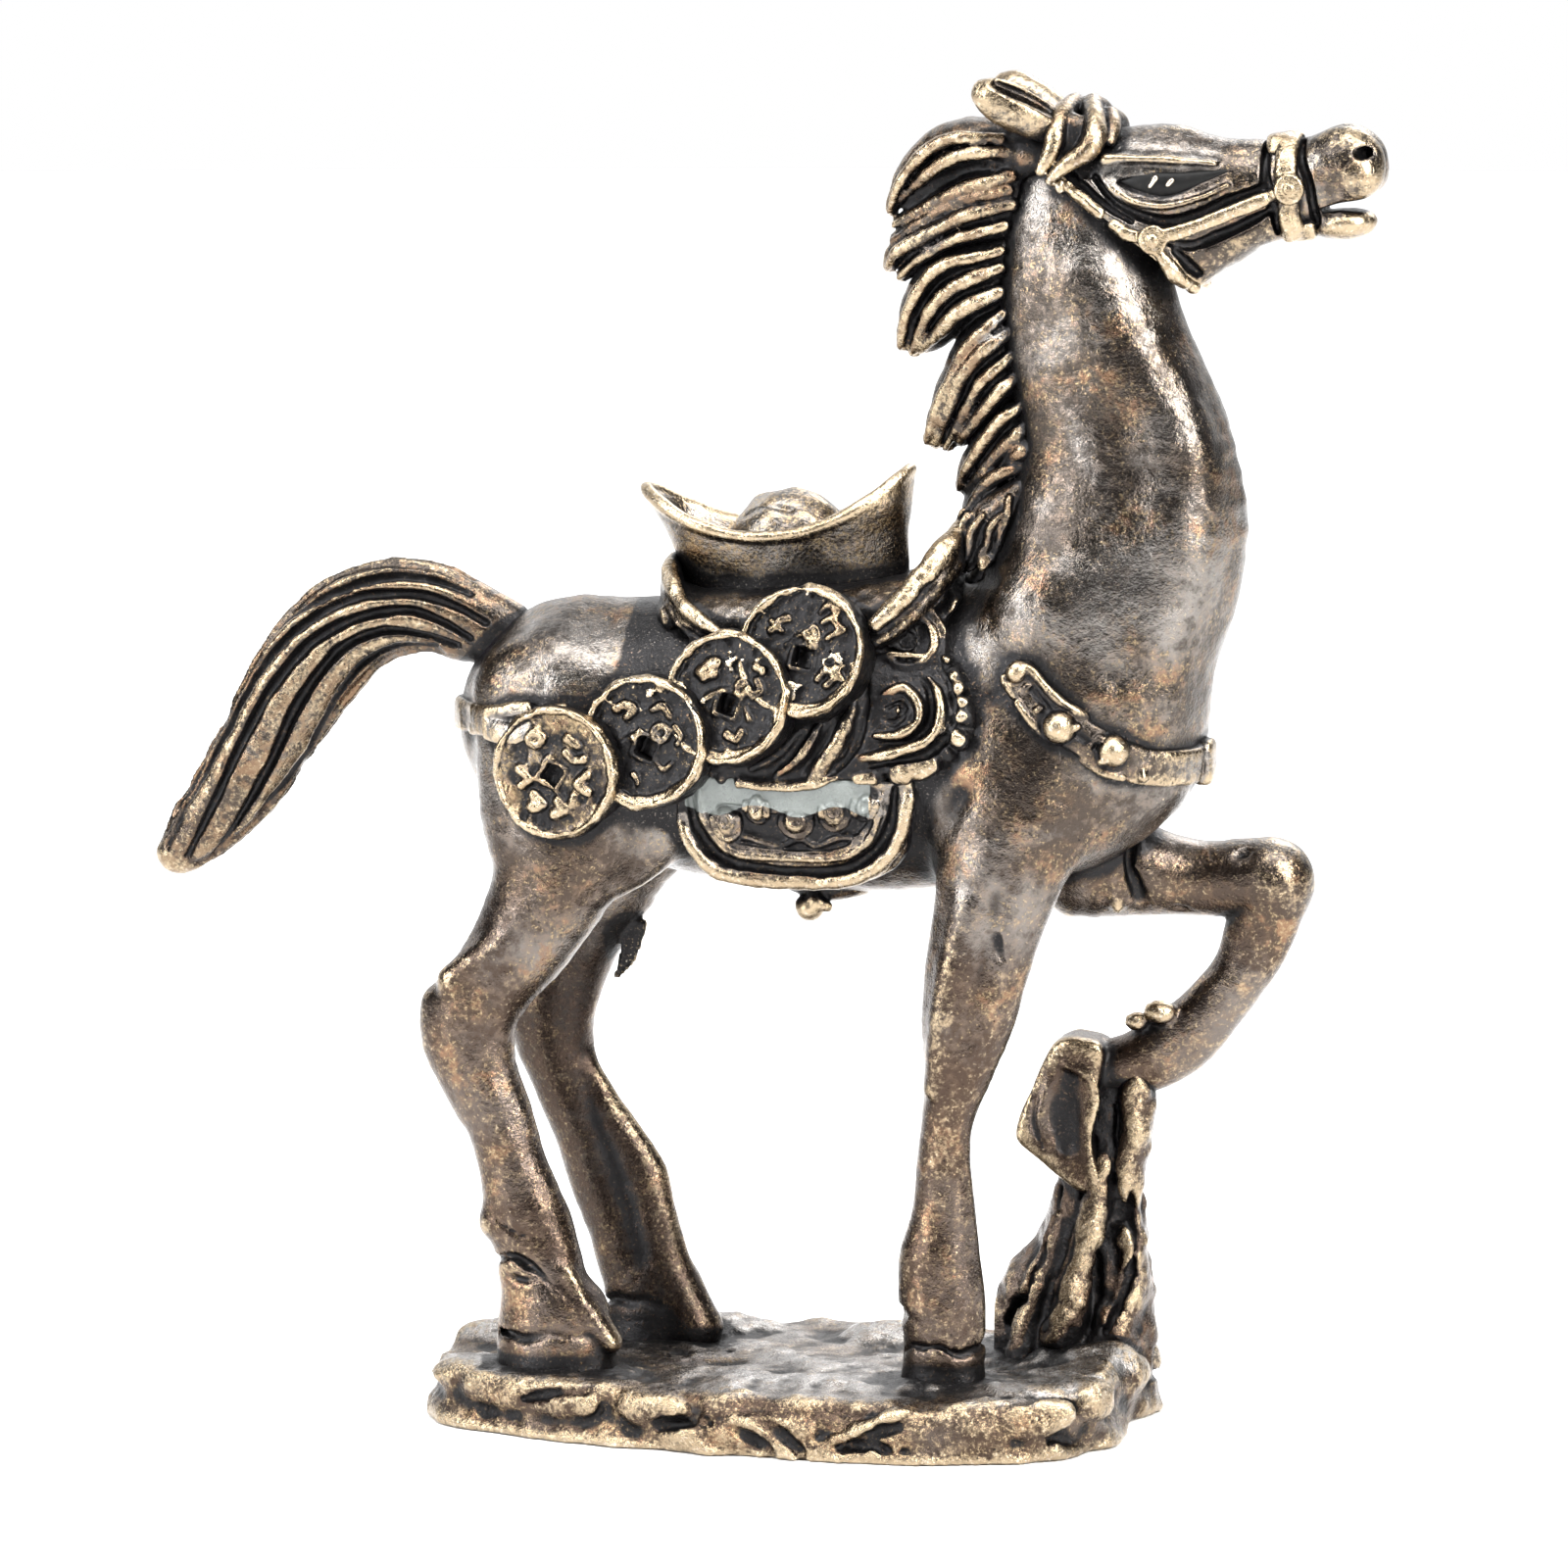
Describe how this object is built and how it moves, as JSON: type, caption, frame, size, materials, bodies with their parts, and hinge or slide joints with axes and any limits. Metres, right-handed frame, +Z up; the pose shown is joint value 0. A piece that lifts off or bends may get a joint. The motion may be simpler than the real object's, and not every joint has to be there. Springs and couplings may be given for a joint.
{
  "type": "horse statue",
  "caption": "Cast bronze horse figurine on a rock base, one foreleg raised, with saddle, coins on both flanks and a boat-shaped ingot on its back.",
  "frame": {"origin": "on the base's flat underside, near its middle", "axes": "+X towards the horse's head, +Y towards its left side, +Z up"},
  "size_m": [0.046, 0.016, 0.0495],
  "materials": {
    "body_bronze": "antique bronze, satin with fine cast grain",
    "hair_bronze": "antique bronze, black in the grooves and bright on the ridges",
    "hoof_bronze": "antique bronze, satin",
    "saddle_bronze": "antique bronze, satin, worn bright on the folds",
    "tack_brass": "worn brass, darkened in the recesses",
    "coin_brass": "worn brass, polished on the rims",
    "ingot_brass": "polished brass, lightly worn",
    "eye_black": "black lacquer in the eye",
    "base_bronze": "antique bronze, rough cast rock"
  },
  "bodies": {
    "root": {"breast_collar": "tack_brass", "bridle_rosettes": "tack_brass", "cheekpiece_left": "tack_brass", "cheekpiece_right": "tack_brass", "coin_1_left": "coin_brass", "coin_1_right": "coin_brass", "coin_2_left": "coin_brass", "coin_2_right": "coin_brass", "coin_3_left": "coin_brass", "coin_3_right": "coin_brass", "coin_4_left": "coin_brass", "coin_4_right": "coin_brass", "collar_studs": "tack_brass", "crownpiece_left": "tack_brass", "crownpiece_right": "tack_brass", "crupper": "tack_brass", "ear_drops": "tack_brass", "ear_left": "body_bronze", "ear_right": "body_bronze", "eye_left": "eye_black", "eye_right": "eye_black", "foreleg_left": "body_bronze", "foreleg_right": "body_bronze", "forelock": "hair_bronze", "girth_knot": "tack_brass", "head": "body_bronze", "hindleg_left": "body_bronze", "hindleg_right": "body_bronze", "hoof_front_left": "hoof_bronze", "hoof_front_right": "hoof_bronze", "hoof_rear_left": "hoof_bronze", "hoof_rear_right": "hoof_bronze", "ingot_boat": "ingot_brass", "ingot_dome": "ingot_brass", "lotus_relief_left": "saddle_bronze", "lotus_relief_right": "saddle_bronze", "mane_lower": "hair_bronze", "mane_middle": "hair_bronze", "mane_upper": "hair_bronze", "neck": "body_bronze", "noseband": "tack_brass", "rock_base": "base_bronze", "rock_stump": "base_bronze", "saddle_cantle": "saddle_bronze", "saddle_fender_left": "saddle_bronze", "saddle_fender_right": "saddle_bronze", "saddle_pommel": "saddle_bronze", "saddle_seat": "saddle_bronze", "saddle_skirt_left": "saddle_bronze", "saddle_skirt_right": "saddle_bronze", "saddlecloth_hem_left": "saddle_bronze", "saddlecloth_hem_right": "saddle_bronze", "saddlecloth_left": "saddle_bronze", "saddlecloth_right": "saddle_bronze", "shoulder_coin_left": "coin_brass", "shoulder_coin_right": "coin_brass", "tail": "hair_bronze", "throat_strap_left": "tack_brass", "throat_strap_right": "tack_brass", "trunk": "body_bronze"}
  },
  "joints": []
}
